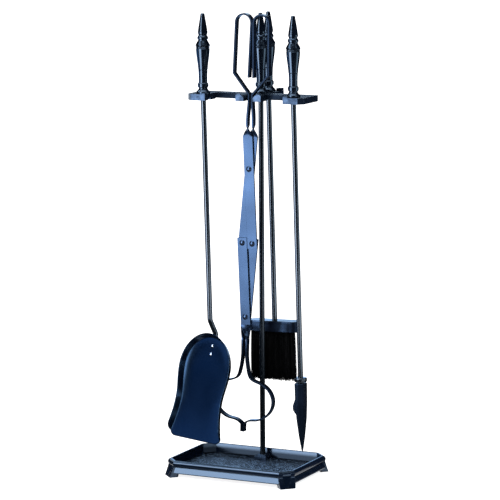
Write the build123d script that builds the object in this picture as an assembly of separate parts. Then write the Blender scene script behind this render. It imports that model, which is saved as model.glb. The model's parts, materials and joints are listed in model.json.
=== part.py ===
"""Fireplace tool set: a cast base tray, a post with a four-armed rack, and four hanging tools.

Millimetres, +Z up, front towards -Y. The origin is the middle of the base on the hearth.
Every function below makes one physical piece, and the last block writes each to its own STEP.
"""
from build123d import *
import math
import os

# ---- overall sizes ------------------------------------------------------------------------
BASE_X = 248.0               # base tray across the front
BASE_Y = 172.0               # base tray front to back
BASE_CORNER = 21.0           # leg of each cut corner
BASE_UNDERSIDE = 7.5         # lower edge of the tray wall above the hearth
BASE_RIM = 30.0              # top of the beaded rim
FLOOR_TOP = 13.0             # upper face of the sunk tray floor
FLOOR_THICK = 4.0
SKIRT_EDGE = 9.0             # the flared skirt starts above this
WALL_TOP = 18.0              # top of the skirt, under the groove
BEAD_UNDERSIDE = 21.0
BEAD_WIDE = 6.4              # width of the beaded rim

POST_Y = 65.5                # the post stands near the back of the tray
ROD = 9.5                    # 3/8 inch bar for the post and every rod
TENON = 8.0                  # threaded ends of the post
WASHER_THICK = 1.4
RACK_TOP = 672.3
PAD_THICK = 11.0             # skirted pads at the arm ends
BAR_THICK = 9.5              # arms between the pads
RACK_HALF = 112.0            # half the rack's width
BAR_FRONT = 37.5             # front and back edges of the rack's crossbar
BAR_BACK = 62.0
ROD_SLOT = 11.4
HANDLE_HEIGHT = 140.5
REST_GAP = 0.2               # under the foot of each hanging handle

SIDE_TOOL_X = 87.3           # shovel on the left, poker on the right
SIDE_TOOL_Y = 13.0
BRUSH_Y = 97.0
ROD_LEAN = 1.4               # degrees, each rod leans this far towards +X at its foot
SPIGOT = 6.0                 # reduced end of a rod inside its handle
SPIGOT_LENGTH = 30.0
FIT = 0.1                    # on the diameter, for a fixed spigot in its bore

TONGS_Y = 27.5               # middle plane of the tongs
TONGS_LEAN = 1.93            # degrees, foot of the tongs towards -X
PIVOT_TOP = 131.4            # top pivot below the rack top, along the tongs
LINK = 132.46                # distance between neighbouring pivots, the same for all four links
LINK_SPREAD = 9.7            # side pivots from the tongs' axis when closed
PLATE_WIDE = 18.4
PLATE_THICK = 3.2
PLATE_GAP = 0.3              # between the front and rear layers
STRIP_WIDE = 11.0
STRIP_THICK = 3.0
PIN = 5.0
PIN_CLEARANCE = 0.1          # on the diameter, in every hole that turns on a pin

HANDLE_FOOT = RACK_TOP + REST_GAP

ON_FOOT = (Align.CENTER, Align.CENTER, Align.MIN)      # a solid that starts at its origin and goes up
HANGING = (Align.CENTER, Align.CENTER, Align.MAX)      # a solid that starts at its origin and goes down


# ---- small helpers --------------------------------------------------------------------------
def octagon(half_x, half_y, corner):
    """Rectangle with four cut corners, as a face on the XY plane."""
    points = []
    for sx, sy, first_along_x in ((1, -1, True), (1, 1, False), (-1, 1, True), (-1, -1, False)):
        along_x = (sx * (half_x - corner), sy * half_y)
        along_y = (sx * half_x, sy * (half_y - corner))
        points += [along_x, along_y] if first_along_x else [along_y, along_x]
    return make_face(Polyline(*points, close=True))


def inset_octagon(inset):
    """The tray outline moved inward by the inset, with its 45 degree corners kept parallel."""
    corner = BASE_CORNER - inset * (2 - math.sqrt(2))
    return octagon(BASE_X / 2 - inset, BASE_Y / 2 - inset, corner)


def slab(face, low, high):
    """The face raised between two heights."""
    return Pos(0, 0, low) * extrude(face, high - low)


def rod_x(tool_x, z):
    """X of a leaning rod's axis at height z."""
    return tool_x + (HANDLE_FOOT - z) * math.tan(math.radians(ROD_LEAN))


def leaning(tool_x, tool_y):
    """Frame at a handle's foot whose -Z runs down the leaning rod."""
    return Pos(tool_x, tool_y, HANDLE_FOOT) * Rot(0, -ROD_LEAN, 0)


def tongs_frame():
    """Frame of the tongs: the notch of the rack is its origin and -Z runs down the tongs."""
    return Pos(0, TONGS_Y, RACK_TOP) * Rot(0, TONGS_LEAN, 0)


# ---- the stand --------------------------------------------------------------------------------
def corner_foot(sx, sy):
    """Foot that flares out and down from one cut corner of the tray."""
    half_x = BASE_X / 2
    half_y = BASE_Y / 2
    run = BASE_CORNER * math.sqrt(2) / 2
    middle = (half_x - BASE_CORNER / 2, half_y - BASE_CORNER / 2)
    tangent = (math.sqrt(0.5), -math.sqrt(0.5))
    outward = (math.sqrt(0.5), math.sqrt(0.5))

    def section(z, out, inside, half_width):
        corners = []
        for along, depth in ((-1, out), (1, out), (1, -inside), (-1, -inside)):
            x = middle[0] + tangent[0] * along * half_width + outward[0] * depth
            y = middle[1] + tangent[1] * along * half_width + outward[1] * depth
            corners.append((sx * x, sy * y, z))
        return make_face(Polyline(*corners, close=True))

    under_rim = section(BEAD_UNDERSIDE + 2.0, -1.0, 5.0, run - 0.6)
    upper = section(WALL_TOP, -0.4, 11.0, run - 0.2)
    middle_height = section(7.5, 3.0, 11.0, run + 0.2)
    lower = section(0.0, 6.2, 9.0, run - 1.0)
    return loft([under_rim, upper], ruled=True) + loft([upper, middle_height, lower], ruled=True)


def base_tray():
    """Cast tray: flared skirt, groove, rounded rim, sunk floor and four corner feet."""
    skirt_foot = inset_octagon(0.2)
    skirt = slab(skirt_foot, BASE_UNDERSIDE, SKIRT_EDGE)
    skirt += loft([Pos(0, 0, SKIRT_EDGE) * skirt_foot, Pos(0, 0, WALL_TOP) * inset_octagon(3.0)], ruled=True)
    neck = slab(inset_octagon(4.0), WALL_TOP - 1.6, BEAD_UNDERSIDE + 1.7)
    bead = slab(inset_octagon(0), BEAD_UNDERSIDE, BASE_RIM)
    bead = fillet(bead.edges().group_by(Axis.Z)[0], 1.4)
    bead = fillet(bead.edges().group_by(Axis.Z)[-1], 5.4)
    inner_edge = 0.7
    hollow_top = slab(inset_octagon(BEAD_WIDE), FLOOR_TOP, BASE_RIM + 1)
    hollow_top += loft([Pos(0, 0, BASE_RIM - inner_edge) * inset_octagon(BEAD_WIDE),
                        Pos(0, 0, BASE_RIM + 0.1) * inset_octagon(BEAD_WIDE - inner_edge - 0.1)], ruled=True)
    hollow_under = slab(inset_octagon(6.0), BASE_UNDERSIDE - 1, FLOOR_TOP - FLOOR_THICK)
    tray = skirt + neck + bead - hollow_under
    for sx in (-1, 1):
        for sy in (-1, 1):
            tray += corner_foot(sx, sy)
    tray -= hollow_top
    tray -= Pos(0, POST_Y, 0) * Cylinder(TENON / 2 + 0.1, 60)
    return tray


def post_foot():
    """Square stepped socket between the tray floor and the post."""
    half = 12.0
    step = 4.6
    back = BASE_Y / 2 - BEAD_WIDE - 0.1 - POST_Y
    plan = Pos(0, POST_Y + (back - half) / 2, FLOOR_TOP) * Rectangle(2 * half, half + back)
    top_section = Pos(0, POST_Y, FLOOR_TOP + 8.5) * Rectangle(15, 15)
    foot = extrude(plan, step) + loft([Pos(0, 0, step) * plan, top_section])
    foot -= Pos(0, POST_Y, 0) * Cylinder(ROD / 2, 80)
    return foot


def post():
    """Round post with a threaded tenon at each end."""
    shaft_top = RACK_TOP - BAR_THICK
    low_end = 2.2
    high_end = RACK_TOP + 26.0
    shaft = Pos(0, POST_Y, FLOOR_TOP) * Cylinder(ROD / 2, shaft_top - FLOOR_TOP, align=ON_FOOT)
    tenons = Pos(0, POST_Y, low_end) * Cylinder(TENON / 2, high_end - low_end, align=ON_FOOT)
    return shaft + tenons


def post_washer():
    """Washer between the tray floor and the nut."""
    ring = Cylinder(8.5, WASHER_THICK, align=HANGING) - Cylinder(TENON / 2 + 0.1, 10)
    return Pos(0, POST_Y, FLOOR_TOP - FLOOR_THICK) * ring


def post_nut():
    """Hexagon nut that clamps the post to the tray from below."""
    nut = extrude(RegularPolygon(6.5, 6, major_radius=False), -5.0) - Cylinder(TENON / 2, 30)
    return Pos(0, POST_Y, FLOOR_TOP - FLOOR_THICK - WASHER_THICK) * nut


def prong_nib(x, y, size_x, size_y, height):
    """Small raised stop on the end of a prong."""
    nib = Box(size_x, size_y, height + 1, align=ON_FOOT)
    nib = fillet(nib.edges().group_by(Axis.Z)[-1], 1.2)
    return Pos(x, y, RACK_TOP - 1) * nib


def plate_between(points, low):
    """Level plate with the given plan, from a height up to the top of the rack."""
    return slab(make_face(Polyline(*points, close=True)), low, RACK_TOP)


def side_pad(side):
    """Pad at one end of the crossbar, slotted from its inner side for a rod."""
    front = -5.0
    inner = 75.0
    cut = 8.5
    outline = [(side * inner, front), (side * (RACK_HALF - cut), front), (side * RACK_HALF, front + cut),
               (side * RACK_HALF, BAR_BACK), (side * (inner + 12), BAR_BACK), (side * inner, BAR_FRONT)]
    towards_middle = (Align.MAX if side > 0 else Align.MIN, Align.CENTER, Align.CENTER)
    mouth = Box(30, ROD_SLOT, 60, align=towards_middle) + Cylinder(ROD_SLOT / 2, 60)
    pad = plate_between(outline, RACK_TOP - PAD_THICK)
    pad -= Pos(side * SIDE_TOOL_X, SIDE_TOOL_Y, RACK_TOP) * mouth
    return pad + prong_nib(side * (inner + 4.6), front + 2.6, 9.0, 5.0, 2.2)


def tongs_notch():
    """Notch from the front for the tongs' two legs, with its upper edges bevelled."""
    back = 35.0
    half = 8.8
    bevel = 4.9
    notch = Pos(0, back, RACK_TOP) * Box(2 * half, 40, 60, align=(Align.CENTER, Align.MAX, Align.CENTER))
    for side in (-1, 1):
        inner = side * (half - 0.3)
        outer = side * (half + bevel)
        corner = Polyline((inner, RACK_TOP - bevel - 0.3), (outer, RACK_TOP), (outer, RACK_TOP + 1),
                          (inner, RACK_TOP + 1), close=True)
        notch += Pos(0, back, 0) * extrude(Plane.XZ * make_face(corner), amount=40)
    return notch


def rack():
    """Cast rack: a cross of flat arms, each ending in a pad with a slot for one tool."""
    low_pad = RACK_TOP - PAD_THICK
    low_bar = RACK_TOP - BAR_THICK
    end = RACK_HALF - 1
    body = plate_between([(-end, BAR_FRONT), (end, BAR_FRONT), (end, BAR_BACK), (-end, BAR_BACK)], low_bar)
    body += slab(Pos(0, POST_Y) * Rectangle(30, 64), low_bar, RACK_TOP)
    body += plate_between([(-24.5, 13), (24.5, 13), (24.5, 36), (16, 44), (-16, 44), (-24.5, 36)], low_pad)
    body += plate_between([(-22, 80), (22, 80), (22, 114), (-22, 114)], low_pad)
    body -= tongs_notch()
    for side in (-1, 1):
        body += side_pad(side)
        body += prong_nib(side * 18.8, 15.2, 8.0, 4.0, 2.0)
        body += prong_nib(side * 17.0, 108.4, 9.6, 11.0, 5.0)
    towards_back = (Align.CENTER, Align.MIN, Align.CENTER)
    rear_slot = Box(ROD_SLOT, 40, 60, align=towards_back) + Cylinder(ROD_SLOT / 2, 60)
    body -= Pos(0, BRUSH_Y, RACK_TOP) * rear_slot
    body -= Pos(0, POST_Y, RACK_TOP) * Cylinder(TENON / 2 + 0.1, 60)
    return body


def handle_shape(bore):
    """Turned handle standing on its foot flange, with a blind bore up its middle."""
    profile = [
        (12.6, 0.0), (12.8, 1.8), (12.0, 3.4), (9.2, 6.0), (7.7, 8.6), (7.9, 10.2),
        (9.4, 11.2), (9.7, 14.4), (9.4, 17.6), (7.8, 18.8),
    ]
    stem = Polyline((bore / 2, 0), *profile)
    lower = Spline(stem @ 1, (7.7, 27.0), (8.2, 40.4))
    bead_one = Polyline(lower @ 1, (7.9, 41.2), (8.5, 42.2))
    vase = Spline(bead_one @ 1, (9.7, 54.0), (11.4, 67.0), (12.2, 78.6))
    shoulder = Polyline(vase @ 1, (11.5, 79.6), (12.6, 80.9), (11.8, 82.2), (13.1, 83.9), (12.6, 85.6),
                        (10.6, 89.2), (8.3, 93.2), (8.3, 94.6), (9.5, 95.6), (9.6, 98.6), (8.6, 100.4),
                        (7.5, 101.6), (7.7, 103.4), (8.6, 105.0), (8.7, 107.6))
    cone = Spline(shoulder @ 1, (7.2, 118.0), (5.3, 129.5), (3.7, 138.8))
    crown = Spline(cone @ 1, (3.0, 140.2), (0, HANDLE_HEIGHT), tangents=((-0.3, 1), (-1, 0)))
    depth = SPIGOT_LENGTH + 1.0
    inside = Polyline(crown @ 1, (0, depth), (bore / 2, depth), (bore / 2, 0))
    outline = Curve() + [stem, lower, bead_one, vase, shoulder, cone, crown, inside]
    return revolve(make_face(Plane.XZ * outline), Axis.Z)


def stand_handle():
    """Handle screwed on top of the post, which clamps the rack."""
    return Pos(0, POST_Y, RACK_TOP) * handle_shape(TENON)


def tool_handle(x, y):
    """Handle of one hanging tool."""
    return Pos(x, y, HANDLE_FOOT) * handle_shape(SPIGOT + FIT)


# ---- rods --------------------------------------------------------------------------------------
def depth_along_rod(z):
    """Distance from a handle's foot down the leaning rod to height z."""
    return (HANDLE_FOOT - z) / math.cos(math.radians(ROD_LEAN))


def with_spigot(shaft, x, y):
    """The shaft cut level under its handle, with the reduced end that fits in the handle."""
    above = Pos(x, y, HANDLE_FOOT) * Box(40, 40, 20, align=ON_FOOT)
    spigot = Pos(x, y, HANDLE_FOOT - 2) * Cylinder(SPIGOT / 2, SPIGOT_LENGTH + 2, align=ON_FOOT)
    return shaft - above + spigot


def straight_rod(x, y, foot_z):
    """Leaning rod from a handle's foot down to foot_z, with its upright spigot in the handle."""
    shaft = leaning(x, y) * Pos(0, 0, 1) * Cylinder(ROD / 2, depth_along_rod(foot_z) + 1, align=HANGING)
    return with_spigot(shaft, x, y)


# ---- shovel ------------------------------------------------------------------------------------
PAN_TURN = 20.0              # degrees the hanging shovel is turned to its left
PAN_TILT = 15.0              # degrees the pan leans forward at its lip
PAN_LENGTH = 186.0
PAN_HEAD = 58.0              # radius of the rounded head
PAN_SHEET = 1.6
PAN_WALL = 9.0
PAN_FLARE = 4.4              # the rim stands this far outside the floor
PAN_TOP_Z = 237.0
PAN_BACK = 5.6               # top of the pan's floor behind the rod's axis
RIVET = 4.0
RIVET_X = 2.0                # rivets and the rod's tail beside the pan's middle line
RIVET_PLACES = (16.0, 31.0)  # below the pan's top edge, along its floor
WALL_FADES = 158.0           # the pan's wall keeps its height down to here
WALL_ENDS = 177.0            # and has run out here, short of the lip
LIP_WIDE = 132.0
LIP_CORNER = 15.0
CRANK_Z = 268.0              # where the shovel's rod bends back behind the pan
TAIL_LONG = 44.0             # flattened end of the rod on the pan's back


def pan_frame():
    """Frame on the pan's floor: +X across, -Y down the slope, +Z out of the hollow."""
    turn = math.radians(PAN_TURN)
    tilt = math.radians(PAN_TILT)
    back = Vector(math.sin(turn), math.cos(turn), 0)
    origin = Vector(rod_x(-SIDE_TOOL_X, PAN_TOP_Z), SIDE_TOOL_Y, PAN_TOP_Z) + back * PAN_BACK
    out = back * -math.cos(tilt) + Vector(0, 0, math.sin(tilt))
    return Plane(origin=origin, x_dir=(math.cos(turn), -math.sin(turn), 0), z_dir=out).location


def pan_outline(grow, below):
    """Outline of the pan's floor, widened evenly by grow and run past the lip by below."""
    head = PAN_HEAD + grow
    waist = 51.8 + grow
    hip = 54.6 + grow
    corner = 61.5 + grow
    end = 67.5 + grow + 0.35 * below
    right = Spline((head, -PAN_HEAD), (waist, -106), (hip, -144), (corner, -170), (end, -PAN_LENGTH - below),
                   tangents=((0, -1), (0.35, -1)))
    left = Spline((-head, -PAN_HEAD), (-waist, -106), (-hip, -144), (-corner, -170),
                  (-end, -PAN_LENGTH - below), tangents=((0, -1), (-0.35, -1)))
    top = ThreePointArc((-head, -PAN_HEAD), (0, grow), (head, -PAN_HEAD))
    foot = Line(left @ 1, right @ 1)
    return make_face(Curve() + [top, right, foot, left])


def shovel_pan():
    """Pressed pan: flat floor in a flared wall whose ends are rounded down to the open lip."""
    past_lip = 20.0
    outer_rim = Pos(0, 0, PAN_WALL) * pan_outline(PAN_FLARE + 1.4, past_lip)
    inner_rim = Pos(0, 0, PAN_WALL + 1) * pan_outline(PAN_FLARE + 0.6, past_lip + 10)
    outer = loft([Pos(0, 0, -PAN_SHEET) * pan_outline(0.6, past_lip), outer_rim])
    pan = outer - loft([pan_outline(-0.8, past_lip + 10), inner_rim])
    beyond = -PAN_LENGTH - 60
    above = PAN_WALL + 4
    ends = Polyline((-WALL_FADES, PAN_WALL), (-WALL_FADES, above), (beyond, above), (beyond, 0),
                    (-WALL_ENDS, 0))
    rounding = Spline((-WALL_ENDS, 0), (4 - WALL_ENDS, 5.2), (-8.5 - WALL_FADES, 8.2),
                      (-WALL_FADES, PAN_WALL), tangents=((0.4, 1), (1, 0)))
    pan -= extrude(Plane.YZ * make_face(Curve() + [ends, rounding]), amount=110, both=True)
    plan = Pos(0, -PAN_LENGTH / 2 + 20, 0) * RectangleRounded(LIP_WIDE, PAN_LENGTH + 40, LIP_CORNER)
    pan = pan & extrude(plan, amount=40, both=True)
    for down in RIVET_PLACES:
        pan -= Pos(RIVET_X, -down, 0) * Cylinder(RIVET / 2, 10)
    return pan_frame() * pan


def shovel_rod():
    """Rod that cranks back behind the pan and runs down its back as a flattened tail."""
    frame = pan_frame()
    behind = -(PAN_SHEET + 2.6)
    lean = math.radians(ROD_LEAN)
    above_foot = Vector(-SIDE_TOOL_X - math.tan(lean), SIDE_TOOL_Y, HANDLE_FOOT + 1)
    crank = Vector(rod_x(-SIDE_TOOL_X, CRANK_Z), SIDE_TOOL_Y, CRANK_Z)
    tail_top = (frame * Pos(RIVET_X, 6, behind)).position
    tail_end = (frame * Pos(RIVET_X, -TAIL_LONG, behind)).position
    path = FilletPolyline(above_foot, crank, tail_top, tail_end, radius=11)
    bar = sweep(Plane(origin=path @ 0, z_dir=path % 0) * Circle(ROD / 2), path=path)
    bar -= frame * Pos(0, -28, -PAN_SHEET) * Box(60, 60, 20, align=ON_FOOT)
    for down in RIVET_PLACES:
        bar -= frame * Pos(RIVET_X, -down, 0) * Cylinder(RIVET / 2, 40)
    return with_spigot(bar, -SIDE_TOOL_X, SIDE_TOOL_Y)


def shovel_rivet(down):
    """Rivet with a domed head in the pan and a flat head on the rod's tail."""
    length = 10.6
    shank = Cylinder(RIVET / 2, length, align=HANGING)
    dome = Pos(0, 0, -3.4) * Sphere(5.0) & Box(12, 12, 8, align=ON_FOOT)
    tail = Pos(0, 0, 0.4 - length) * Cylinder(3.2, 1.2, align=HANGING)
    return pan_frame() * Pos(RIVET_X, -down, 0) * (shank + dome + tail)


def shovel_rivets():
    """The two rivets that hold the pan on its rod."""
    return Compound(children=[shovel_rivet(down) for down in RIVET_PLACES])


# ---- poker ---------------------------------------------------------------------------------------
COLLAR_TOP = 179.0
COLLAR_HEIGHT = 8.0
COLLAR = 23.0
POINT_TOP = COLLAR_TOP - COLLAR_HEIGHT - 1.6
POINT_LENGTH = 124.0
POINT_SIDE = 17.8
POINT_SPIGOT = 20.0          # reduced end of the rod inside the point


def poker_collar():
    """Turned collar where the rod meets the forged point."""
    ring = fillet(Cylinder(COLLAR / 2, COLLAR_HEIGHT, align=HANGING).edges(), 2.4)
    ring -= Cylinder((ROD + FIT) / 2, 60)
    return leaning(SIDE_TOOL_X, SIDE_TOOL_Y) * Pos(0, 0, -depth_along_rod(COLLAR_TOP)) * ring


def poker_point():
    """Forged square spear with a low thorn on its left, bored for the rod."""
    sections = []
    for down, side in ((0, POINT_SIDE - 2.0), (1.4, POINT_SIDE), (34, POINT_SIDE - 0.6), (64, 14.8),
                       (96, 9.0), (120, 2.8), (POINT_LENGTH, 0.6)):
        sections.append(Pos(0, 0, -down) * RectangleRounded(side, side, side * 0.1))
    spear = loft(sections, ruled=True)
    profile = Polyline((-3, -20), (-7.8, -22), (-15.4, -42), (-14.8, -50), (-9, -58), (-3, -66), close=True)
    thorn = extrude(Plane.XZ * make_face(profile), amount=3.2, both=True)
    thorn = fillet(thorn.edges().filter_by(Axis.Y).sort_by(Axis.X)[:2], 1.2)
    bore = Cylinder((SPIGOT + FIT) / 2, POINT_SPIGOT + 1.4, align=HANGING)
    point = spear + thorn - bore
    return leaning(SIDE_TOOL_X, SIDE_TOOL_Y) * Pos(0, 0, -depth_along_rod(POINT_TOP)) * point


def poker_rod():
    """Poker rod with a reduced end that screws into the point."""
    bar = straight_rod(SIDE_TOOL_X, SIDE_TOOL_Y, POINT_TOP)
    end = Pos(0, 0, 2 - depth_along_rod(POINT_TOP)) * Cylinder(SPIGOT / 2, POINT_SPIGOT + 2, align=HANGING)
    return bar + leaning(SIDE_TOOL_X, SIDE_TOOL_Y) * end


# ---- brush ---------------------------------------------------------------------------------------
BLOCK_TOP = 261.0
BLOCK_HEIGHT = 19.5
BLOCK_LONG = 99.0
BLOCK_DEEP = 27.0
BLOCK_SPIGOT = 14.0          # reduced end of the rod inside the block
BRISTLE_FOOT = 152.0


def brush_frame(z):
    """Frame on the brush rod's axis at height z, leaning with the rod."""
    return leaning(0, BRUSH_Y) * Pos(0, 0, -depth_along_rod(z))


def brush_block():
    """Rounded block that holds the bristles, bored for the rod."""
    block = extrude(RectangleRounded(BLOCK_LONG, BLOCK_DEEP, 11.5), -BLOCK_HEIGHT)
    block = fillet(block.edges().group_by(Axis.Z)[-1], 1.6)
    block = fillet(block.edges().group_by(Axis.Z)[0], 1.0)
    block -= Cylinder((SPIGOT + FIT) / 2, BLOCK_SPIGOT + 1.0, align=HANGING)
    return brush_frame(BLOCK_TOP) * block


def brush_rod():
    """Brush rod with a reduced end that screws into the block."""
    bar = straight_rod(0, BRUSH_Y, BLOCK_TOP)
    end = Pos(0, 0, 2) * Cylinder(SPIGOT / 2, BLOCK_SPIGOT + 2, align=HANGING)
    return bar + brush_frame(BLOCK_TOP) * end


def brush_bristles():
    """Plain body of the bristle bundle, slightly wider at its foot."""
    length = BLOCK_TOP - BLOCK_HEIGHT - BRISTLE_FOOT
    head = Pos(-2.5, 0) * RectangleRounded(83, 18, 8.5)
    foot = Pos(-4.0, 0, -length) * RectangleRounded(87, 22, 9.5)
    return brush_frame(BLOCK_TOP - BLOCK_HEIGHT) * loft([foot, head])


# ---- tongs ---------------------------------------------------------------------------------------
LINK_ANGLE = math.degrees(math.asin(LINK_SPREAD / LINK))
PIVOT_SIDE = PIVOT_TOP + LINK * math.cos(math.radians(LINK_ANGLE))
PIVOT_LOW = 2 * PIVOT_SIDE - PIVOT_TOP
LAYER = (PLATE_THICK + PLATE_GAP) / 2
STEM_X = 3.2                 # stems of the levers where they pass the rack
TWIST_X = 5.6                # axis of each twist, beside the tongs' axis


def strip(path):
    """Flat strip bent along a path in the XZ plane, standing edge-on across Y."""
    face = trace(path, STRIP_THICK)
    return extrude(Plane.XZ * face, amount=STRIP_WIDE / 2, both=True)


def flat_plate(x_a, z_a, x_b, z_b, over_a, over_b, round_a):
    """Plate in the front layer between two points, run on past each by the amounts given."""
    length = math.hypot(x_b - x_a, z_b - z_a)
    angle = math.degrees(math.atan2(z_b - z_a, x_b - x_a))
    blank = Pos((length + over_b - over_a) / 2, 0) * Rectangle(length + over_a + over_b, PLATE_WIDE)
    blank = fillet(blank.vertices(), round_a)
    plate = extrude(blank, amount=PLATE_THICK / 2, both=True)
    return Pos(x_a, -LAYER, z_a) * Rot(0, -angle, 0) * Rot(90, 0, 0) * plate


def twist(wide_end, strip_end, turn):
    """Quarter-turn twist from a plate in the front layer to a strip on the middle plane."""
    steps = 4
    sections = []
    for step in range(steps + 1):
        t = step / steps
        wide = PLATE_WIDE + (STRIP_WIDE - PLATE_WIDE) * min(1.0, 1.5 * t)
        thick = PLATE_THICK + (STRIP_THICK - PLATE_THICK) * t
        x = wide_end[0] + (strip_end[0] - wide_end[0]) * t
        z = wide_end[1] + (strip_end[1] - wide_end[1]) * t
        eased = t * t * (3 - 2 * t)
        turned = Rot(0, 0, turn * 90 * eased)
        sections.append(Pos(x, -LAYER * (1 - t), z) * turned * Rectangle(wide, thick))
    return loft(sections)


def pin_hole(x, z, diameter):
    """Hole across the plates at one pivot."""
    return Pos(x, 0, z) * Rot(90, 0, 0) * Cylinder(diameter / 2, 60)


def upper_lever():
    """Handle lever of the front layer: loop, stem, twist and plate from top pivot to side pivot."""
    slope = LINK_SPREAD / (PIVOT_SIDE - PIVOT_TOP)
    plate_top = 74.0
    twist_top = 52.0
    x_top = -slope * (PIVOT_TOP - plate_top)
    plate = flat_plate(x_top, -plate_top, LINK_SPREAD, -PIVOT_SIDE, 0.0, 9.4, 0.8)
    turn = twist((x_top, -plate_top - 0.9), (-TWIST_X, -twist_top), -1)
    lower_stem = Spline((-TWIST_X, -twist_top - 0.3), (-5.4, -40), (-STEM_X, -10), (-STEM_X, -3),
                        tangents=((0, 1), (0, 1)))
    leg = FilletPolyline((-STEM_X, -3.2), (-STEM_X, 0), (-33.6, 36), (-31.6, 125.3), radius=2.6)
    arch = ThreePointArc((-31.6, 125.2), (-16.8, 140.1), (-2.0, 125.2))
    inner = Line((-2.0, 125.3), (-4.6, 29.5))
    lever = plate + turn + strip(lower_stem) + strip(leg) + strip(arch) + strip(inner)
    lever -= pin_hole(0, -PIVOT_TOP, PIN + PIN_CLEARANCE)
    return lever - pin_hole(LINK_SPREAD, -PIVOT_SIDE, PIN)


def lower_link(low_hole):
    """Claw link of the front layer: plate from side pivot to low pivot, twist, stem and claw."""
    slope = LINK_SPREAD / (PIVOT_LOW - PIVOT_SIDE)
    past_pivot = 14.0
    plate_end = PIVOT_LOW + past_pivot
    twist_end = PIVOT_LOW + 42.0
    x_end = slope * past_pivot
    x_twist = TWIST_X - 1.4
    plate = flat_plate(-LINK_SPREAD, -PIVOT_SIDE, x_end, -plate_end, 8.9, 0.0, 0.8)
    turn = twist((x_end, -plate_end + 0.9), (x_twist, -twist_end), 1)
    stem = Spline((x_twist, -twist_end + 0.3), (4.0, -466), (7.6, -491), (13.2, -505.2), (35.5, -514.5),
                  (51.0, -526), (57.6, -542), (54.4, -559), (43, -572.8), (27, -580.6), (10.5, -583.6),
                  (3.0, -588.6), (2.1, -594.0), tangents=((0, -1), (0, -1)))
    tip = Line((2.1, -593.9), (2.1, -603.5))
    link = plate + turn + strip(stem) + strip(tip)
    link -= pin_hole(-LINK_SPREAD, -PIVOT_SIDE, PIN + PIN_CLEARANCE)
    return link - pin_hole(0, -PIVOT_LOW, low_hole)


def half_turn(piece):
    """The same piece turned end for side about the tongs' axis."""
    return Rot(0, 0, 180) * piece


def tongs_rivet(x, z):
    """Pivot rivet through both layers, with a domed head on each face."""
    reach = LAYER + PLATE_THICK / 2 + 0.1
    shank = Cylinder(PIN / 2, 2 * reach)
    head = Pos(0, 0, reach - 4.2) * Sphere(6.8) & Pos(0, 0, reach) * Box(20, 20, 10, align=ON_FOOT)
    rivet = shank + head + Rot(180, 0, 0) * head
    return Pos(x, 0, z) * Rot(90, 0, 0) * rivet


# ---- write every piece ---------------------------------------------------------------------------
def all_pieces():
    """Every node's name and its solid in the shared frame."""
    tongs = tongs_frame()
    lever = upper_lever()
    return {
        "base_tray": base_tray(),
        "post_foot": post_foot(),
        "post": post(),
        "post_washer": post_washer(),
        "post_nut": post_nut(),
        "rack": rack(),
        "stand_handle": stand_handle(),
        "shovel_handle": tool_handle(-SIDE_TOOL_X, SIDE_TOOL_Y),
        "shovel_rod": shovel_rod(),
        "shovel_pan": shovel_pan(),
        "shovel_rivets": shovel_rivets(),
        "poker_handle": tool_handle(SIDE_TOOL_X, SIDE_TOOL_Y),
        "poker_rod": poker_rod(),
        "poker_collar": poker_collar(),
        "poker_point": poker_point(),
        "brush_handle": tool_handle(0, BRUSH_Y),
        "brush_rod": brush_rod(),
        "brush_block": brush_block(),
        "brush_bristles": brush_bristles(),
        "tongs_front_lever": tongs * lever,
        "tongs_rear_lever": tongs * half_turn(lever),
        "tongs_front_link": tongs * lower_link(PIN),
        "tongs_rear_link": tongs * half_turn(lower_link(PIN + PIN_CLEARANCE)),
        "tongs_top_rivet": tongs * tongs_rivet(0, -PIVOT_TOP),
        "tongs_left_rivet": tongs * tongs_rivet(-LINK_SPREAD, -PIVOT_SIDE),
        "tongs_right_rivet": tongs * tongs_rivet(LINK_SPREAD, -PIVOT_SIDE),
        "tongs_low_rivet": tongs * tongs_rivet(0, -PIVOT_LOW),
    }


os.makedirs("parts", exist_ok=True)
for name, piece in all_pieces().items():
    export_step(piece, "parts/" + name + ".step")
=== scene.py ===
"""Looks of the fireplace tool set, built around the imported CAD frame. Lengths are in metres."""
import json
import math
import random

import bpy
from mathutils import Matrix, Vector

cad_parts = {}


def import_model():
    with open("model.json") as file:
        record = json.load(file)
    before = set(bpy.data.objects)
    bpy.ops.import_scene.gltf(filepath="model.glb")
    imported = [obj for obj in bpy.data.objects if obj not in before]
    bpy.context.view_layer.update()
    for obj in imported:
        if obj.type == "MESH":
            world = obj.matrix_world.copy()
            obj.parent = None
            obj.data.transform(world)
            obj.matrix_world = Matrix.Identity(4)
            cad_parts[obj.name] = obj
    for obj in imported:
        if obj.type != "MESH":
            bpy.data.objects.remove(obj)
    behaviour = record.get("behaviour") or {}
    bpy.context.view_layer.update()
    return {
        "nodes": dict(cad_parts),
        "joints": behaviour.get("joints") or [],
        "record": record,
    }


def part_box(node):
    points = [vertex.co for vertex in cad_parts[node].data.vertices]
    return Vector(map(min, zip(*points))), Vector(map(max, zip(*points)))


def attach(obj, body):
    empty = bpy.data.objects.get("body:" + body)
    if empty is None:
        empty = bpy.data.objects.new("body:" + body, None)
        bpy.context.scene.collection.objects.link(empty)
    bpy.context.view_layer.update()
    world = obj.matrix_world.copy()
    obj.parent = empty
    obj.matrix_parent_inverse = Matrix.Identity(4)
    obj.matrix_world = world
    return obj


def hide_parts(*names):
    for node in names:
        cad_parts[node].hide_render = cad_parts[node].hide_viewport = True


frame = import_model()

MM = 0.001

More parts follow.
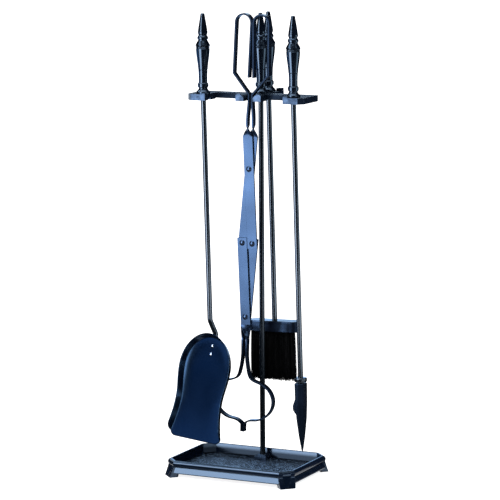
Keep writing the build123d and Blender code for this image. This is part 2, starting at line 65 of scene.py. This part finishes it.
# ---- places on the set at rest ---------------------------------------------------------------------
FLOOR_TOP = 13.0 * MM                               # upper face of the tray's sunk floor
PEBBLE_HEIGHT = 1.1 * MM
PEBBLES_PER_METRE = 170.0
WALL_X, WALL_Y = 118.6 * MM, 80.6 * MM              # just beyond the walls inside the tray, either way
WALL_LEAN = 0.2                                     # slope by which those walls are shaded as leaning out
WALL_SHADED, WALL_BRIGHT = 21 * MM, 26 * MM           # heights between which the painted shade low on those walls fades out, so the walls brighten
BEAD_FOOT, BEAD_SIDE = 19 * MM, 20 * MM             # heights where the painted shade on the bead's outer side begins
CROSSBAR_Y = (36 * MM, 37 * MM)                     # just ahead of the front of the rack's crossbar
CROSSBAR_Z = (0.5, 0.6)                             # well below the rack
POST_ROOM = 9 * MM                                  # half the width of the square around the post that holds its painted shade
PAN_CENTRE = (-74.7 * MM, 18.3 * MM, 237 * MM)      # top of the pan's head
PAN_TURN = math.radians(20)
PAN_SHOULDER = -58 * MM                             # foot of the rounded head, from the pan's top
PAN_FLARE = (-110 * MM, -178 * MM)                  # the pan widens again between these, from its top
PAN_HALF_WIDE = (50 * MM, 64 * MM)                  # about half its width at those two heights
PAN_DISH = 2.7 * MM
RIVETS_BLACK, RIVETS_BRIGHT = 0.25, 0.24            # the pan's rivets, below, take bright metal as a painted highlight; the tongs', above, stay black
LEVERS_BRIGHT, LEVERS_DIM = 0.59, 0.66           # heights between which the levers lose their shine
CLAWS_SHADED, CLAWS_BRIGHT = 0.2, 0.23                # heights between which the painted shade on the claws and the point fades out
POINT_BRIGHT_X, POINT_SHADED_X = 96.5 * MM, 99.5 * MM        # across the poker's point, from its lit left side into painted shade

# ---- colours and shine -----------------------------------------------------------------------------
RUBBED_METAL = (0.10, 0.11, 0.13)
# metal colour on the pan's rivets, which stands in for highlights on their black paint
GLINT_METAL = (0.36, 0.41, 0.48)
PLAIN_SHINE, LOW_SHINE = 0.5, 0.1                  # the Principled shader's specular level; the low one carries painted shade on the tray and the levers' fading shine
# specular level on the post, lowered there as painted shade
POST_SHADED_SHINE = 0.24
NAVY = (0.24, 0.52, 1.0)
BLUED = (0.38, 0.60, 1.0)
COOL = (0.72, 0.84, 1.0)
PERIWINKLE = (0.30, 0.53, 1.0)
WASHED_BLUE = (0.52, 0.72, 1.0)
HAZE = (0.25, 0.45, 1.0)


# ---- shader helpers ------------------------------------------------------------------------------
class Shader:
    """A node material with one Principled shader and short calls to add to it."""

    def __init__(self, name):
        self.material = bpy.data.materials.new(name)
        self.material.use_nodes = True
        self.tree = self.material.node_tree
        self.surface = self.tree.nodes["Principled BSDF"]
        self.place = self.add("ShaderNodeTexCoord").outputs["Object"]

    def add(self, kind, **settings):
        node = self.tree.nodes.new(kind)
        for key, value in settings.items():
            setattr(node, key, value)
        return node

    def plug(self, source, target):
        self.tree.links.new(source, target)

    def feed(self, value, socket):
        """Links another node's output to the socket, or sets the socket to a value."""
        if isinstance(value, bpy.types.NodeSocket):
            self.plug(value, socket)
        else:
            socket.default_value = value

    def fill(self, node, **inputs):
        """Links or sets a node's inputs by name, with _ for a space."""
        for key, value in inputs.items():
            self.feed(value, node.inputs[key.replace("_", " ")])
        return node

    def stretched(self, scale):
        """Object coordinates, scaled along each axis."""
        return self.fill(self.add("ShaderNodeMapping"), Vector=self.place, Scale=scale).outputs["Vector"]

    def grain(self, scale, detail=3.0, vector=None):
        """Noise between 0 and 1 at so many cells per metre."""
        texture = self.add("ShaderNodeTexNoise")
        self.fill(texture, Scale=scale, Detail=detail, Roughness=0.55)
        self.plug(vector if vector is not None else self.place, texture.inputs["Vector"])
        return texture.outputs["Fac"]

    def spread(self, value, low, high, to_low=0.0, to_high=1.0):
        """Value mapped from low..high to to_low..to_high, clamped."""
        node = self.add("ShaderNodeMapRange")
        self.fill(node, Value=value, From_Min=low, From_Max=high, To_Min=to_low, To_Max=to_high)
        return node.outputs["Result"]

    def split(self, vector):
        """Outputs X, Y and Z of a vector."""
        parts = self.add("ShaderNodeSeparateXYZ")
        self.plug(vector, parts.inputs[0])
        return parts.outputs

    def facing(self):
        """X, Y and Z of the surface's normal."""
        return self.split(self.add("ShaderNodeNewGeometry").outputs["Normal"])

    def maths(self, operation, a, b):
        node = self.add("ShaderNodeMath", operation=operation)
        self.feed(a, node.inputs[0])
        self.feed(b, node.inputs[1])
        return node.outputs["Value"]

    def times(self, product, *factors):
        """Product of two or more values."""
        for factor in factors:
            product = self.maths("MULTIPLY", product, factor)
        return product

    def square(self, value):
        return self.times(value, value)

    def near(self, value, middle, reach):
        """1 where the value is nearer to the middle than the reach, else 0."""
        apart = self.maths("ABSOLUTE", self.maths("SUBTRACT", value, middle), 0.0)
        return self.maths("LESS_THAN", apart, reach)

    def blend(self, factor, a, b):
        """Colour between a and b."""
        node = self.add("ShaderNodeMix", data_type="RGBA")
        self.plug(factor, node.inputs["Factor"])
        sockets = [socket for socket in node.inputs if socket.type == "RGBA"]
        for socket, value in zip(sockets, (a, b)):
            self.feed((*value, 1.0) if isinstance(value, tuple) else value, socket)
        return [socket for socket in node.outputs if socket.type == "RGBA"][0]

    def soft_edges(self, radius):
        """Shading normal that rounds every edge, and a mask that is 1 on the edges."""
        rounded = self.add("ShaderNodeBevel", samples=6)
        rounded.inputs["Radius"].default_value = radius
        flat = self.add("ShaderNodeNewGeometry").outputs["Normal"]
        likeness = self.add("ShaderNodeVectorMath", operation="DOT_PRODUCT")
        self.plug(rounded.outputs["Normal"], likeness.inputs[0])
        self.plug(flat, likeness.inputs[1])
        return rounded.outputs["Normal"], self.spread(likeness.outputs["Value"], 0.985, 0.86)

    def bump(self, height, strength, distance, normal):
        node = self.add("ShaderNodeBump")
        self.fill(node, Strength=strength, Distance=distance, Height=height, Normal=normal)
        return node.outputs["Normal"]

    def over_bumps(self, height, depth):
        """Adds relief on top of the bumps that the surface already has."""
        normal = self.surface.inputs["Normal"]
        self.plug(self.bump(height, 1.0, depth, normal.links[0].from_socket), normal)


def black_paint(name, base, light, roughness, grain, depth, tint, ior, edge=0.7 * MM, wear=0.12):
    """Black paint on metal: two tones, rubbed edges, uneven gloss and a fine skin of bumps.

    grain is the number of bumps to the metre, depth their height and edge the radius that edges seem
    to have. wear is how much metal shows on those edges.
    """
    s = Shader(name)
    rounded, edges = s.soft_edges(edge)
    cloud = s.grain(18.0, 4.0)
    speck = s.grain(grain, 4.0)
    tone = s.blend(s.spread(cloud, 0.35, 0.68), base, light)
    scuff = s.times(edges, s.spread(s.grain(140.0, 5.0), 0.45, 0.62, 0.0, wear))
    smudge = s.maths("ADD", s.spread(speck, 0.3, 0.7, -0.03, 0.04), s.spread(cloud, 0.35, 0.7, 0.0, 0.05))
    s.fill(s.surface, Base_Color=s.blend(scuff, tone, RUBBED_METAL),
           Roughness=s.maths("ADD", smudge, roughness), Normal=s.bump(speck, 0.5, depth, rounded),
           Specular_Tint=(*tint, 1.0), IOR=ior)
    return s


# ---- materials ----------------------------------------------------------------------------------
def tray_enamel():
    """Enamel on the cast tray: pebbled on its sunk floor, with painted shade on the bead's side and low
    inside, as weaker reflections there.
    """
    s = black_paint("tray_enamel", base=(0.001, 0.003, 0.008), light=(0.002, 0.005, 0.014), roughness=0.13,
                    grain=900.0, depth=0.02 * MM, tint=WASHED_BLUE, ior=1.65)
    place = s.split(s.place)
    facing = s.facing()
    on_floor = s.times(s.near(place["Z"], FLOOR_TOP, 0.3 * MM), s.maths("GREATER_THAN", facing["Z"], 0.9))
    cells = s.add("ShaderNodeTexVoronoi", feature="DISTANCE_TO_EDGE")
    s.fill(cells, Vector=s.stretched((1.0, 0.75, 0.0)), Scale=PEBBLES_PER_METRE, Randomness=1.0)
    pebbles = s.maths("ADD", s.spread(cells.outputs["Distance"], 0.0, 0.34), s.grain(300.0, 3.0))
    s.over_bumps(s.times(pebbles, on_floor), PEBBLE_HEIGHT)
    inside = s.times(s.near(place["X"], 0.0, WALL_X), s.near(place["Y"], 0.0, WALL_Y))
    s.over_bumps(s.times(place["Z"], inside, -WALL_LEAN), 1.0)
    # painted shade: weaker reflections on upright faces of the bead's outer side and low on the inner walls
    upright = s.spread(facing["Z"], 0.34, 0.16)
    bead_side = s.times(s.spread(place["Z"], BEAD_FOOT, BEAD_SIDE), s.maths("SUBTRACT", 1.0, inside))
    wall_foot = s.times(s.spread(place["Z"], WALL_BRIGHT, WALL_SHADED), inside)
    painted_shade = s.times(upright, s.maths("ADD", bead_side, wall_foot))
    s.fill(s.surface, Specular_IOR_Level=s.spread(painted_shade, 0.0, 1.0, PLAIN_SHINE, LOW_SHINE))
    return s.material


def rack_black():
    """Paint on the castings: mottled, with a painted shadow of the hooks on the front of the rack's
    crossbar, as weaker reflections there.
    """
    s = black_paint("rack_black", base=(0.002, 0.004, 0.008), light=(0.004, 0.007, 0.014), roughness=0.22,
                    grain=700.0, depth=0.03 * MM, tint=BLUED, ior=1.65)
    place = s.split(s.place)
    # painted shadow of the hooks: weaker reflections on the crossbar's front faces
    crossbar = s.times(s.spread(place["Y"], *CROSSBAR_Y), s.spread(place["Z"], *CROSSBAR_Z))
    front = s.times(s.spread(s.facing()["Y"], -0.6, -0.8), crossbar)
    mottled = s.spread(s.grain(60.0, 3.0), 0.38, 0.62, 0.24, 0.66)
    s.fill(s.surface, Specular_IOR_Level=s.times(mottled, s.spread(front, 0.0, 1.0, 1.0, 0.1)))
    return s.material


def rod_black():
    """Glossy bars of the tools, and the post between them with painted shade, as weaker reflections."""
    s = black_paint("rod_black", base=(0.001, 0.002, 0.003), light=(0.002, 0.004, 0.006), roughness=0.16,
                    grain=1200.0, depth=0.003 * MM, tint=COOL, ior=1.82, edge=0.4 * MM)
    place = s.split(s.place)
    low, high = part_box("post")
    post = (low + high) / 2
    # painted shade on the post: weaker reflections there
    post_shade = s.times(s.near(place["X"], post.x, POST_ROOM), s.near(place["Y"], post.y, POST_ROOM))
    s.fill(s.surface, Specular_IOR_Level=s.spread(post_shade, 0.0, 1.0, PLAIN_SHINE, POST_SHADED_SHINE))
    return s.material


def handle_black():
    """Gloss paint on the turned handles, hardly rubbed."""
    s = black_paint("handle_black", base=(0.001, 0.002, 0.003), light=(0.002, 0.003, 0.006), roughness=0.12,
                    grain=600.0, depth=0.006 * MM, tint=WASHED_BLUE, ior=1.7, edge=0.5 * MM, wear=0.05)
    return s.material


def pan_black():
    """Satin paint over a slightly dished pan with a soft crease around its floor."""
    s = black_paint("pan_black", base=(0.0002, 0.0008, 0.003), light=(0.0004, 0.0014, 0.005),
                    roughness=0.18, grain=1000.0, depth=0.006 * MM, tint=NAVY, ior=1.65, edge=2.8 * MM,
                    wear=0.0)
    on_pan = s.add("ShaderNodeMapping", vector_type="TEXTURE")
    s.fill(on_pan, Vector=s.place, Location=PAN_CENTRE, Rotation=(0, 0, -PAN_TURN))
    place = s.split(on_pan.outputs["Vector"])
    half_wide = s.spread(place["Z"], *PAN_FLARE, *PAN_HALF_WIDE)
    across = s.maths("DIVIDE", place["X"], half_wide)
    towards_head = s.spread(place["Z"], PAN_SHOULDER, 0.0)
    outward = s.maths("ADD", s.square(across), s.square(towards_head))
    s.over_bumps(s.square(outward), PAN_DISH)
    return s.material


def forged_black():
    """Blued forged strip: less shine high on the levers, and painted shade low on the claws and across the
    poker's point.
    """
    s = black_paint("forged_black", base=(0.002, 0.004, 0.008), light=(0.004, 0.007, 0.014), roughness=0.24,
                    grain=500.0, depth=0.02 * MM, tint=PERIWINKLE, ior=1.65, edge=0.5 * MM)
    place = s.split(s.place)
    # the levers' shine falls away high up
    lever_fade = s.spread(place["Z"], LEVERS_BRIGHT, LEVERS_DIM, 0.62, LOW_SHINE)
    # painted shade: weaker reflections low down, strongest on the right of the poker's point
    point_shade = s.spread(place["X"], POINT_BRIGHT_X, POINT_SHADED_X, 0.5, 0.12)
    low_shade = s.maths("MAXIMUM", s.spread(place["Z"], CLAWS_SHADED, CLAWS_BRIGHT), point_shade)
    patches = s.spread(s.grain(14.0, 2.0, vector=s.stretched((1.0, 1.0, 0.8))), 0.35, 0.65, 0.82, 1.15)
    s.fill(s.surface, Specular_IOR_Level=s.times(lever_fade, low_shade, patches))
    return s.material


def rivet_black():
    """Rivet heads: glossy black on the tongs; on the shovel's pan below them a bright metal colour as a
    painted highlight.
    """
    s = black_paint("rivet_black", base=(0.01, 0.014, 0.024), light=(0.02, 0.028, 0.044), roughness=0.16,
                    grain=900.0, depth=0.02 * MM, tint=PERIWINKLE, ior=1.9, edge=0.3 * MM, wear=0.0)
    # painted highlight: the pan's rivets turn to bright metal
    glint = s.spread(s.split(s.place)["Z"], RIVETS_BLACK, RIVETS_BRIGHT)
    painted = s.surface.inputs["Base Color"].links[0].from_socket
    s.fill(s.surface, Metallic=glint, Base_Color=s.blend(glint, painted, GLINT_METAL))
    return s.material


def block_black():
    """Painted wood: the grain runs along the block and shows faintly through the paint."""
    s = Shader("block_black")
    rounded, edges = s.soft_edges(0.8 * MM)
    fibres = s.grain(260.0, 5.0, vector=s.stretched((0.08, 1.0, 1.0)))
    cloud = s.grain(30.0, 3.0)
    patches = s.grain(34.0, 2.0, vector=s.stretched((1.0, 1.0, 0.3)))
    tone = s.blend(s.spread(cloud, 0.35, 0.65), (0.002, 0.003, 0.007), (0.005, 0.008, 0.014))
    scuff = s.times(edges, s.spread(s.grain(150.0, 5.0), 0.5, 0.64, 0.0, 0.4))
    s.fill(s.surface, Base_Color=s.blend(scuff, tone, (0.09, 0.075, 0.06)),
           Roughness=s.spread(fibres, 0.3, 0.7, 0.14, 0.26), Normal=s.bump(fibres, 0.4, 0.05 * MM, rounded),
           Specular_IOR_Level=s.spread(patches, 0.42, 0.56, 0.1, 0.9), Specular_Tint=(*PERIWINKLE, 1.0))
    return s.material


def plain_steel():
    """Zinc-plated steel with fine turning lines and dull patches."""
    s = Shader("plain_steel")
    rounded, _ = s.soft_edges(0.3 * MM)
    lines = s.grain(2600.0, 3.0, vector=s.stretched((1.0, 1.0, 0.1)))
    patches = s.grain(220.0, 4.0)
    tone = s.blend(s.spread(patches, 0.35, 0.65), (0.46, 0.47, 0.49), (0.62, 0.63, 0.64))
    s.fill(s.surface, Base_Color=tone, Roughness=s.spread(patches, 0.3, 0.7, 0.25, 0.45),
           Normal=s.bump(lines, 0.35, 0.04 * MM, rounded), Metallic=1.0)
    return s.material


def bristle_black():
    """Stiff black fibre whose tone differs from one bristle to the next."""
    s = Shader("bristle_black")
    shade = s.add("ShaderNodeAttribute", attribute_name="bristle_shade").outputs["Fac"]
    fleck = s.grain(900.0, 3.0, vector=s.stretched((1.0, 1.0, 0.12)))
    s.fill(s.surface, Base_Color=s.blend(shade, (0.0006, 0.0006, 0.0008), (0.008, 0.008, 0.009)),
           Roughness=s.spread(fleck, 0.3, 0.7, 0.55, 0.8), Specular_IOR_Level=0.06)
    return s.material


MATERIALS = {make.__name__: make() for make in (
    tray_enamel, rack_black, rod_black, handle_black, pan_black, forged_black, rivet_black, block_black,
    plain_steel, bristle_black)}


def dress_cad_nodes():
    """Every CAD node takes the material named by its slot in the record."""
    slots = {row["node"]: row["material_slot"] for row in frame["record"]["subparts"]}
    for name, node in frame["nodes"].items():
        node.data.materials.clear()
        node.data.materials.append(MATERIALS[slots[name]])


# ---- bristles -------------------------------------------------------------------------------------
TUFT_ROWS, TUFT_COLUMNS, TUFT_SIZE = 6, 22, 26      # rows on the block, tufts in a row, bristles in a tuft
TUFT_X, TUFT_Y = 1.5 * MM, 1.3 * MM                 # half size of a tuft
BUNDLE_X, BUNDLE_Y = 40.0 * MM, 8.2 * MM            # half size of the bundle at the block
CORNER = 0.14                                       # share of the half width that narrows towards its end
FLARE_X, FLARE_Y = 1.035, 1.16                      # how much wider the bundle is at its tips
TIPS_X, TIPS_Y = (-43.5 * MM, 42.0 * MM), (-10.6 * MM, 10.6 * MM)      # no tip strays past these
SIDES, RINGS = 3, 5                                 # corners around a bristle, and rings along it


class Bundle:
    """Where the bristles hang: the middle of their roots, and their directions across, deep and down."""

    def __init__(self):
        low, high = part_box("brush_bristles")
        lift = [joint for joint in frame["joints"] if joint["name"] == "brush_lift"][0]
        up = Vector(lift["axis"]).normalized()
        self.down = -up
        self.deep = Vector((0, 1, 0))
        self.across = self.deep.cross(up).normalized()
        self.length = (high.z - low.z) - 2.0 * MM
        self.top = (low + high) / 2 - self.down * self.length / 2

    def at(self, x, y, fall):
        return self.top + self.across * x + self.deep * y + self.down * fall


def new_piece(name, vertices, faces, body, slot_name):
    """Mesh piece in the row frame that rides on a body and has its slot's material."""
    mesh = bpy.data.meshes.new(name)
    mesh.from_pydata([tuple(v) for v in vertices], [], faces)
    mesh.validate()
    piece = bpy.data.objects.new(name, mesh)
    bpy.context.scene.collection.objects.link(piece)
    mesh.materials.append(MATERIALS[slot_name])
    mesh.polygons.foreach_set("use_smooth", [True] * len(mesh.polygons))
    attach(piece, body)
    return piece


def tufts(rng):
    """Each tuft's place on the block, from -1 to 1 both ways, then its tone, reach and lean."""
    for row in range(TUFT_ROWS):
        for column in range(TUFT_COLUMNS):
            u = -1 + 2 * (column + 0.5 * (row % 2)) / (TUFT_COLUMNS - 0.5)
            into_corner = max(0.0, abs(u) - (1 - CORNER)) / CORNER
            v = (-1 + 2 * row / (TUFT_ROWS - 1)) * (1 - 0.45 * into_corner)
            tone = rng.random()
            reach = 1.0 - 0.045 * rng.random() ** 2
            lean = rng.gauss(0, 0.7 * MM), rng.gauss(0, 0.5 * MM)
            yield u, v, tone, reach, lean


def bristle_rings(rng, bundle, u, v, tuft_reach, lean):
    """Rings of points around one bristle, from its root to its tip."""
    around = rng.uniform(0, 2 * math.pi)
    out = math.sqrt(rng.random())
    root_x = u * BUNDLE_X + math.cos(around) * out * TUFT_X - 1.0 * MM
    root_y = v * BUNDLE_Y + math.sin(around) * out * TUFT_Y
    stray = 2.2 if rng.random() < 0.05 else 1.0
    tip_x = root_x * FLARE_X + lean[0] + rng.gauss(0, 1.0 * MM) * stray - 0.8 * MM
    tip_y = root_y * FLARE_Y + lean[1] + rng.gauss(0, 0.6 * MM) * stray
    tip_x = max(TIPS_X[0], min(TIPS_X[1], tip_x))
    tip_y = max(TIPS_Y[0], min(TIPS_Y[1], tip_y))
    short = 0.11 * rng.random() if rng.random() < 0.35 else 0.0
    reach = bundle.length * tuft_reach * (1.0 - abs(rng.gauss(0, 0.02)) - short)
    bow_x = rng.gauss(0, 0.5 * MM)
    bow_y = rng.gauss(0, 0.4 * MM)
    thick = rng.uniform(0.26, 0.40) * MM
    turn = rng.uniform(0, 2 * math.pi)
    points = []
    for ring in range(RINGS):
        t = ring / (RINGS - 1)
        bulge = math.sin(math.pi * t)
        x = root_x + (tip_x - root_x) * t + bow_x * bulge
        y = root_y + (tip_y - root_y) * t + bow_y * bulge
        centre = bundle.at(x, y, reach * t)
        radius = thick * (1 - 0.45 * t)
        for side in range(SIDES):
            a = turn + side * 2 * math.pi / SIDES
            outward = bundle.across * (math.cos(a) * radius) + bundle.deep * (math.sin(a) * radius)
            points.append(centre + outward)
    return points


def bristle_faces(first):
    """Faces of one bristle whose points start at the given index."""
    faces = []
    for ring in range(RINGS - 1):
        for side in range(SIDES):
            i = first + ring * SIDES + side
            j = first + ring * SIDES + (side + 1) % SIDES
            faces.append((i, i + SIDES, j + SIDES, j))
    last = first + (RINGS - 1) * SIDES
    faces.append((first, first + 1, first + 2))
    faces.append((last, last + 2, last + 1))
    return faces


def bristles(bundle):
    """Bundle of single bristles set in tufts."""
    rng = random.Random(7)
    vertices, faces, shades = [], [], []
    for u, v, tone, reach, lean in tufts(rng):
        for _ in range(TUFT_SIZE):
            faces += bristle_faces(len(vertices))
            vertices += bristle_rings(rng, bundle, u, v, reach, lean)
            shade = 0.6 * rng.random() * tone + (0.5 if rng.random() < 0.03 else 0)
            shades += [min(1.0, max(0.0, shade))] * (RINGS * SIDES)
    piece = new_piece("bristle_bundle", vertices, faces, "brush", "bristle_black")
    piece.data.attributes.new("bristle_shade", "FLOAT", "POINT").data.foreach_set("value", shades)
    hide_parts("brush_bristles")


def bristle_core(bundle):
    """Dark heart of the bundle, which stops light between the bristles."""
    around, levels = 28, 6
    half_x, half_y = 34.5 * MM, 6.2 * MM
    vertices, faces = [], []
    for level in range(levels):
        t = level / (levels - 1)
        for k in range(around):
            a = 2 * math.pi * k / around
            x = math.copysign(abs(math.cos(a)) ** 0.35, math.cos(a)) * (half_x + 1.5 * MM * t)
            y = math.copysign(abs(math.sin(a)) ** 0.6, math.sin(a)) * (half_y + 0.8 * MM * t)
            vertices.append(bundle.at(x - 0.8 * MM * t, y, bundle.length * 0.9 * t))
    for level in range(levels - 1):
        for k in range(around):
            i = level * around + k
            j = level * around + (k + 1) % around
            faces.append((i, j, j + around, i + around))
    faces.append(tuple(range(around))[::-1])
    faces.append(tuple(range((levels - 1) * around, levels * around)))
    new_piece("bristle_core", vertices, faces, "brush", "bristle_black")


# ---- room ------------------------------------------------------------------------------------------
ROOM_RADIUS = 1.2
ROOM_TALL = 2.2
FLOOR_GLOW = 0.85
WORLD_GLOW = 0.95
# The dark floor has an opening for the tray, given by its half size. Each fade is a distance beyond
# the opening and the glow there.
TRAY_OVAL = (0.19, 0.15)
FLOOR_FADES = ((0.0, 0.3), (0.03, 0.14), (0.08, 0.05), (0.2, 0.03), (1.0, 0.03))


def stage_mesh(name, vertices, faces, material):
    mesh = bpy.data.meshes.new(name)
    mesh.from_pydata(vertices, [], faces)
    thing = bpy.data.objects.new(name, mesh)
    bpy.context.scene.collection.objects.link(thing)
    mesh.materials.append(material)
    return thing


def floor():
    """Plain pale floor."""
    material = bpy.data.materials.new("pale_floor")
    material.use_nodes = True
    shader = material.node_tree.nodes["Principled BSDF"]
    shader.inputs["Base Color"].default_value = (0.9, 0.9, 0.9, 1)
    shader.inputs["Roughness"].default_value = 0.9
    shader.inputs["Specular IOR Level"].default_value = 0.0
    shader.inputs["Emission Color"].default_value = (1, 1, 1, 1)
    shader.inputs["Emission Strength"].default_value = FLOOR_GLOW
    size = 40.0
    stage_mesh("floor", [(-size, -size, 0), (size, -size, 0), (size, size, 0), (-size, size, 0)],
               [(0, 1, 2, 3)], material)


def glow_material(name, colour, strength):
    """Emission scaled by the mesh's own glow attribute."""
    material = bpy.data.materials.new(name)
    material.use_nodes = True
    tree = material.node_tree
    tree.nodes.clear()
    amount = tree.nodes.new("ShaderNodeAttribute")
    amount.attribute_name = "glow"
    gain = tree.nodes.new("ShaderNodeMath")
    gain.operation = "MULTIPLY"
    gain.inputs[1].default_value = strength
    glow = tree.nodes.new("ShaderNodeEmission")
    glow.inputs["Color"].default_value = (*colour, 1)
    out = tree.nodes.new("ShaderNodeOutputMaterial")
    tree.links.new(amount.outputs["Fac"], gain.inputs[0])
    tree.links.new(gain.outputs[0], glow.inputs["Strength"])
    tree.links.new(glow.outputs[0], out.inputs["Surface"])
    return material


def glowing(name, vertices, faces, glow, colour, strength):
    """Staging that only glossy reflections show, with a glow for each of its points."""
    thing = stage_mesh(name, vertices, faces, glow_material(name, colour, strength))
    thing.data.attributes.new("glow", "FLOAT", "POINT").data.foreach_set("value", glow)
    thing.visible_camera = False
    thing.visible_diffuse = False
    thing.visible_shadow = False
    thing.visible_transmission = False
    thing.visible_volume_scatter = False


def ease(value, low, high):
    """Smooth step from 0 at low to 1 at high."""
    t = min(1.0, max(0.0, (value - low) / (high - low)))
    return t * t * (3 - 2 * t)


def oval(around, radius_x, radius_y, z):
    """Points of a level oval, from the front towards +X."""
    angles = [2 * math.pi * k / around for k in range(around)]
    return [(math.sin(a) * radius_x, -math.cos(a) * radius_y, z) for a in angles]


def band(around, first, second):
    """Faces between two ovals whose points start at the given indices."""
    pairs = [(k, (k + 1) % around) for k in range(around)]
    return [(first + k, first + j, second + j, second + k) for k, j in pairs]


def dark_room():
    """Dark room around the set, as its gloss sees it: wall, ceiling, and floor beyond the tray."""
    around = 72
    vertices = [point for z in (0.003, ROOM_TALL) for point in oval(around, ROOM_RADIUS, ROOM_RADIUS, z)]
    faces = band(around, 0, around) + [tuple(range(around, 2 * around))]
    glowing("tent_wall", vertices, faces, [1.0] * len(vertices), HAZE, 0.05)
    vertices, faces, glow = [], [], []
    for beyond, bright in FLOOR_FADES:
        vertices += oval(around, TRAY_OVAL[0] + beyond, TRAY_OVAL[1] + beyond, 0.002)
        glow += [bright] * around
        if beyond:
            faces += band(around, len(vertices) - 2 * around, len(vertices) - around)
    glowing("tent_floor", vertices, faces, glow, (0.5, 0.7, 1.0), 1.0)


# Soft-edged panels on the room's wall, which the gloss reflects. Each has a range of degrees from the
# front towards +X, a range of heights, the width of its soft edges in both, a colour and a strength.
CARDS = (
    ("front_left_card", (-46, -4), (0.03, 1.0), (6, 0.1), (0.86, 0.92, 1.0), 9.0),
    ("left_card", (-96, -46), (0.0, 0.34), (10, 0.1), (0.18, 0.46, 1.0), 1.1),
    ("left_haze_card", (-110, -48), (0.26, 0.86), (22, 0.2), (0.10, 0.40, 1.0), 0.9),
    ("right_card", (84, 124), (0.01, 0.86), (10, 0.1), (0.8, 0.95, 1.0), 2.2),
    ("right_foot_card", (44, 104), (0.0, 0.24), (8, 0.05), (0.9, 0.95, 1.0), 4.0),
    ("rear_left_card", (-178, -124), (0.01, 0.72), (10, 0.2), (0.40, 0.64, 1.0), 2.4),
    ("rear_high_card", (-178, -124), (0.95, 2.1), (10, 0.2), (0.6, 0.8, 1.0), 4.0),
    ("left_high_card", (-120, -44), (1.62, 2.2), (12, 0.12), (0.6, 0.8, 1.0), 6.0),
    ("left_foot_card", (-134, -100), (0.3, 0.95), (8, 0.14), (0.7, 0.85, 1.0), 1.6),
    ("skirt_card", (-37, -15), (0.84, 1.34), (6, 0.14), (0.9, 0.95, 1.0), 14.0),
    ("overhead_card", (-44, -6), (1.2, 2.1), (8, 0.24), (0.8, 0.9, 1.0), 9.0),
    ("overhead_right_card", (56, 104), (1.3, 2.1), (12, 0.3), (0.8, 0.9, 1.0), 1.6),
)


def grid_faces(steps):
    """Faces of a square grid of points laid out row by row, so many steps each way."""
    corners = [j * (steps + 1) + i for j in range(steps) for i in range(steps)]
    return [(k, k + 1, k + steps + 2, k + steps + 1) for k in corners]


def soft_inside(value, low, high, soft):
    """1 between low and high, falling smoothly to 0 at both over the width of the soft edge."""
    return ease(value, low, low + soft) * ease(-value, -high, -high + soft)


def card(name, turn, height, soft, colour, strength):
    steps = 28
    radius = ROOM_RADIUS - 0.03
    vertices, glow = [], []
    for j in range(steps + 1):
        z = height[0] + (height[1] - height[0]) * j / steps
        for i in range(steps + 1):
            degrees = turn[0] + (turn[1] - turn[0]) * i / steps
            a = math.radians(degrees)
            glow.append(soft_inside(degrees, *turn, soft[0]) * soft_inside(z, *height, soft[1]))
            vertices.append((radius * math.sin(a), -radius * math.cos(a), z))
    glowing(name, vertices, grid_faces(steps), glow, colour, strength)


def ceiling_card():
    """Soft panel overhead, brighter towards the front."""
    half, steps = 1.0, 16
    vertices, glow = [], []
    for j in range(steps + 1):
        for i in range(steps + 1):
            x = -half + 2 * half * i / steps
            y = -half + 2 * half * j / steps
            glow.append(ease(-math.hypot(x, y), -1.1, -0.6) * (0.25 + 0.75 * ease(-y, -0.5, 0.6)))
            vertices.append((x, y, ROOM_TALL - 0.02))
    glowing("ceiling_card", vertices, grid_faces(steps), glow, (0.8, 0.9, 1.0), 6.0)


# ---- light and camera --------------------------------------------------------------------------------
KEY_PLACE = Vector((-2.2, -2.6, 2.6))
KEY_AIM = Vector((0, 0, 0.3))
KEY_SIZE = 1.6
KEY_POWER = 20.0
AZIMUTH = math.radians(25.89)
ELEVATION = math.radians(8.84)
ROLL = math.radians(-0.36)
DISTANCE = 5.0
LOOK_AT = Vector((0.0, 0.0, 0.4))
LENS, SENSOR = 205.16, 36.0
SHIFT_X, SHIFT_Y = 0.0088, 0.0011


def key_light():
    """Large soft light from the front left."""
    data = bpy.data.lights.new("key", "AREA")
    data.shape = "DISK"
    data.size = KEY_SIZE
    data.energy = KEY_POWER
    data.color = (0.9, 0.95, 1.0)
    lamp = bpy.data.objects.new("key", data)
    lamp.location = KEY_PLACE
    lamp.rotation_mode = "QUATERNION"
    lamp.rotation_quaternion = (KEY_AIM - KEY_PLACE).to_track_quat("-Z", "Y")
    bpy.context.scene.collection.objects.link(lamp)


def world():
    """Even white surroundings."""
    studio = bpy.data.worlds.new("studio")
    studio.use_nodes = True
    background = studio.node_tree.nodes["Background"]
    background.inputs["Color"].default_value = (1, 1, 1, 1)
    background.inputs["Strength"].default_value = WORLD_GLOW
    bpy.context.scene.world = studio


def camera():
    """Long lens, a little to the right of the front and slightly above."""
    back = Vector((math.sin(AZIMUTH) * math.cos(ELEVATION), -math.cos(AZIMUTH) * math.cos(ELEVATION),
                   math.sin(ELEVATION)))
    data = bpy.data.cameras.new("camera")
    data.sensor_width = SENSOR
    data.lens = LENS
    data.shift_x = SHIFT_X
    data.shift_y = SHIFT_Y
    data.clip_start = 0.1
    data.clip_end = 100.0
    eye = bpy.data.objects.new("camera", data)
    eye.rotation_mode = "QUATERNION"
    roll = Matrix.Rotation(ROLL, 3, "Z").to_quaternion()
    eye.rotation_quaternion = (-back).to_track_quat("-Z", "Y") @ roll
    eye.location = LOOK_AT + back * DISTANCE
    bpy.context.scene.collection.objects.link(eye)
    bpy.context.scene.camera = eye


# ---- the scene ---------------------------------------------------------------------------------------
bpy.context.scene.view_settings.view_transform = "Standard"
camera()
world()
floor()
dark_room()
for settings in CARDS:
    card(*settings)
ceiling_card()
key_light()
dress_cad_nodes()
brush = Bundle()
bristles(brush)
bristle_core(brush)
